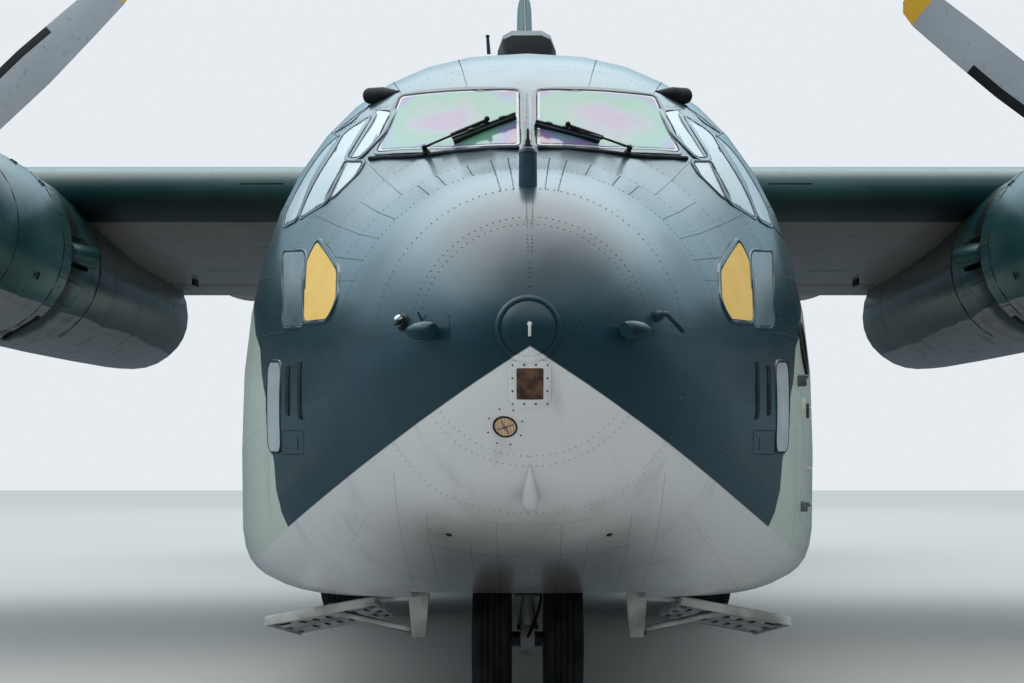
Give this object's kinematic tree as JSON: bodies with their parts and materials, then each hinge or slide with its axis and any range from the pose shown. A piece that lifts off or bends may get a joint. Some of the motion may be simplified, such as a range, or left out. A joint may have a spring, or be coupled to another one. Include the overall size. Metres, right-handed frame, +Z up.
{
  "type": "military transport plane",
  "caption": "High-wing military transport aeroplane with radial engines, glazed flight deck, rear cargo ramp and fixed landing gear.",
  "frame": {"origin": "middle of the bounding box in plan, on the ground under the wheels", "axes": "+Z up, nose towards -Y, span along X, +X the aeroplane's own left side"},
  "size_m": [33.53, 23.25, 10.39],
  "materials": {
    "glazing": "smooth pale curved panes",
    "tyres": "matt black rubber",
    "gear_metal": "satin grey enamel",
    "engine_metal": "dull dark castings",
    "propellers": "satin grey with dark leading edges and yellow tips",
    "nose_paint": "semi-gloss dark slate",
    "cockpit_paint": "semi-gloss slate above, pale grey below, mint cream sides",
    "wing_paint": "satin dark green above, grey below",
    "interior": "matt dark interior",
    "cargo_deck": "worn grey deck paint",
    "tail_paint": "painted satin dark green above and grey below",
    "scoop": "matt black",
    "fuselage_paint": "satin pale mint cream"
  },
  "bodies": {
    "airframe": {"nose_cap": "nose_paint", "cockpit_shell": "cockpit_paint", "flight_deck_glazing": "glazing", "flight_deck": "interior", "cargo_floor": "cargo_deck", "fuselage_shell": "fuselage_paint", "cabin_windows_left": "glazing", "cabin_windows_right": "glazing", "roof_scoop": "scoop", "tailplane": "tail_paint", "fin": "tail_paint", "rear_fuselage_shell": "fuselage_paint", "wing_outer_left": "wing_paint", "wing_outer_right": "wing_paint", "wing_centre": "wing_paint", "cowl_left": "wing_paint", "cowl_right": "wing_paint", "nacelle_left": "wing_paint", "nacelle_right": "wing_paint", "engine_left": "engine_metal", "engine_right": "engine_metal", "jet_pod_left": "fuselage_paint", "jet_pod_right": "fuselage_paint", "nose_leg": "gear_metal", "sponson_left": "fuselage_paint", "sponson_right": "fuselage_paint", "main_leg_left": "gear_metal", "main_leg_right": "gear_metal", "nose_gear_door_left": "fuselage_paint", "nose_gear_door_right": "fuselage_paint"},
    "propeller_left": {"propeller_left": "propellers"},
    "propeller_right": {"propeller_right": "propellers"},
    "nose_fork": {"nose_fork": "gear_metal"},
    "nose_wheels": {"nose_wheels": "tyres"},
    "main_wheel_left_front": {"main_wheel_left_front": "tyres"},
    "main_wheel_left_rear": {"main_wheel_left_rear": "tyres"},
    "main_wheel_right_front": {"main_wheel_right_front": "tyres"},
    "main_wheel_right_rear": {"main_wheel_right_rear": "tyres"},
    "flap_inner_left": {"flap_inner_left": "wing_paint"},
    "flap_inner_right": {"flap_inner_right": "wing_paint"},
    "flap_outer_left": {"flap_outer_left": "wing_paint"},
    "flap_outer_right": {"flap_outer_right": "wing_paint"},
    "aileron_left": {"aileron_left": "wing_paint"},
    "aileron_right": {"aileron_right": "wing_paint"},
    "elevator_left": {"elevator_left": "tail_paint"},
    "elevator_right": {"elevator_right": "tail_paint"},
    "rudder": {"rudder": "tail_paint"},
    "cargo_ramp": {"cargo_ramp": "cargo_deck"},
    "upper_cargo_door": {"upper_cargo_door": "fuselage_paint"},
    "crew_door": {"crew_door": "fuselage_paint"},
    "troop_door_left": {"troop_door_left": "fuselage_paint"},
    "troop_door_right": {"troop_door_right": "fuselage_paint"}
  },
  "joints": [
    {"name": "propeller_left_spin", "type": "hinge", "parent": "airframe", "child": "propeller_left", "pos_m": [4.42, -7.265, 3.22], "axis": [0, 1, 0], "continuous": true},
    {"name": "propeller_right_spin", "type": "hinge", "parent": "airframe", "child": "propeller_right", "pos_m": [-4.42, -7.265, 3.22], "axis": [0, 1, 0], "continuous": true},
    {"name": "nose_steering", "type": "hinge", "parent": "airframe", "child": "nose_fork", "pos_m": [0, -8.825, 0.9], "axis": [0, 0, 1], "range_deg": [-45, 45]},
    {"name": "nose_wheels_spin", "type": "hinge", "parent": "nose_fork", "child": "nose_wheels", "pos_m": [0, -8.825, 0.42], "axis": [1, 0, 0], "continuous": true},
    {"name": "main_wheel_left_front_spin", "type": "hinge", "parent": "airframe", "child": "main_wheel_left_front", "pos_m": [1.84, -2.945, 0.56], "axis": [1, 0, 0], "continuous": true},
    {"name": "main_wheel_left_rear_spin", "type": "hinge", "parent": "airframe", "child": "main_wheel_left_rear", "pos_m": [1.84, -1.635, 0.56], "axis": [1, 0, 0], "continuous": true},
    {"name": "main_wheel_right_front_spin", "type": "hinge", "parent": "airframe", "child": "main_wheel_right_front", "pos_m": [-1.84, -2.945, 0.56], "axis": [1, 0, 0], "continuous": true},
    {"name": "main_wheel_right_rear_spin", "type": "hinge", "parent": "airframe", "child": "main_wheel_right_rear", "pos_m": [-1.84, -1.635, 0.56], "axis": [1, 0, 0], "continuous": true},
    {"name": "flap_inner_left_hinge", "type": "hinge", "parent": "airframe", "child": "flap_inner_left", "pos_m": [2.8, -1.97697, 3.6302], "axis": [-1, 0, 0], "range_deg": [0, 40]},
    {"name": "flap_inner_right_hinge", "type": "hinge", "parent": "airframe", "child": "flap_inner_right", "pos_m": [-2.8, -1.97697, 3.6302], "axis": [-1, 0, 0], "range_deg": [0, 40]},
    {"name": "flap_outer_left_hinge", "type": "hinge", "parent": "airframe", "child": "flap_outer_left", "pos_m": [7.48, -2.19227, 3.85649], "axis": [-0.9928, 0.0828, -0.0871], "range_deg": [0, 40]},
    {"name": "flap_outer_right_hinge", "type": "hinge", "parent": "airframe", "child": "flap_outer_right", "pos_m": [-7.48, -2.19227, 3.85649], "axis": [-0.9928, -0.0828, 0.0871], "range_deg": [0, 40]},
    {"name": "aileron_left_hinge", "type": "hinge", "parent": "airframe", "child": "aileron_left", "pos_m": [12.925, -2.64665, 4.33406], "axis": [-0.9928, 0.0828, -0.0871], "range_deg": [-18, 18]},
    {"name": "aileron_right_hinge", "type": "hinge", "parent": "airframe", "child": "aileron_right", "pos_m": [-12.925, -2.64665, 4.33406], "axis": [-0.9928, -0.0828, 0.0871], "range_deg": [-18, 18]},
    {"name": "elevator_left_hinge", "type": "hinge", "parent": "airframe", "child": "elevator_left", "pos_m": [3.08, 9.61931, 4.95], "axis": [-1, 0.0025, 0], "range_deg": [-20, 20]},
    {"name": "elevator_right_hinge", "type": "hinge", "parent": "airframe", "child": "elevator_right", "pos_m": [-3.08, 9.61931, 4.95], "axis": [-1, -0.0025, 0], "range_deg": [-20, 20]},
    {"name": "rudder_hinge", "type": "hinge", "parent": "airframe", "child": "rudder", "pos_m": [0, 9.89075, 7.54], "axis": [0, 0.0642, 0.9979], "range_deg": [-25, 25]},
    {"name": "cargo_ramp_hinge", "type": "hinge", "parent": "airframe", "child": "cargo_ramp", "pos_m": [0, 1.683, 0.69], "axis": [-1, 0, 0], "range_deg": [0, 34]},
    {"name": "upper_cargo_door_hinge", "type": "hinge", "parent": "airframe", "child": "upper_cargo_door", "pos_m": [0, 7.26, 3.23868], "axis": [-1, 0, 0], "range_deg": [0, 26]},
    {"name": "crew_door_hinge", "type": "hinge", "parent": "airframe", "child": "crew_door", "pos_m": [1.60385, -8.95677, 1.19097], "axis": [0.2904, 0.9569, 0], "range_deg": [0, 110]},
    {"name": "troop_door_left_hinge", "type": "hinge", "parent": "airframe", "child": "troop_door_left", "pos_m": [1.61116, 0.2806, 2.1075], "axis": [-0.0834, 0, 0.9965], "range_deg": [0, 80]},
    {"name": "troop_door_right_hinge", "type": "hinge", "parent": "airframe", "child": "troop_door_right", "pos_m": [-1.61116, 0.2806, 2.1075], "axis": [-0.0834, 0, -0.9965], "range_deg": [0, 80]}
  ],
  "couplings": [
    {"joint": "flap_inner_right_hinge", "follows": "flap_inner_left_hinge", "ratio": 1},
    {"joint": "flap_outer_left_hinge", "follows": "flap_inner_left_hinge", "ratio": 1},
    {"joint": "flap_outer_right_hinge", "follows": "flap_inner_left_hinge", "ratio": 1},
    {"joint": "aileron_right_hinge", "follows": "aileron_left_hinge", "ratio": -1},
    {"joint": "elevator_right_hinge", "follows": "elevator_left_hinge", "ratio": 1}
  ]
}
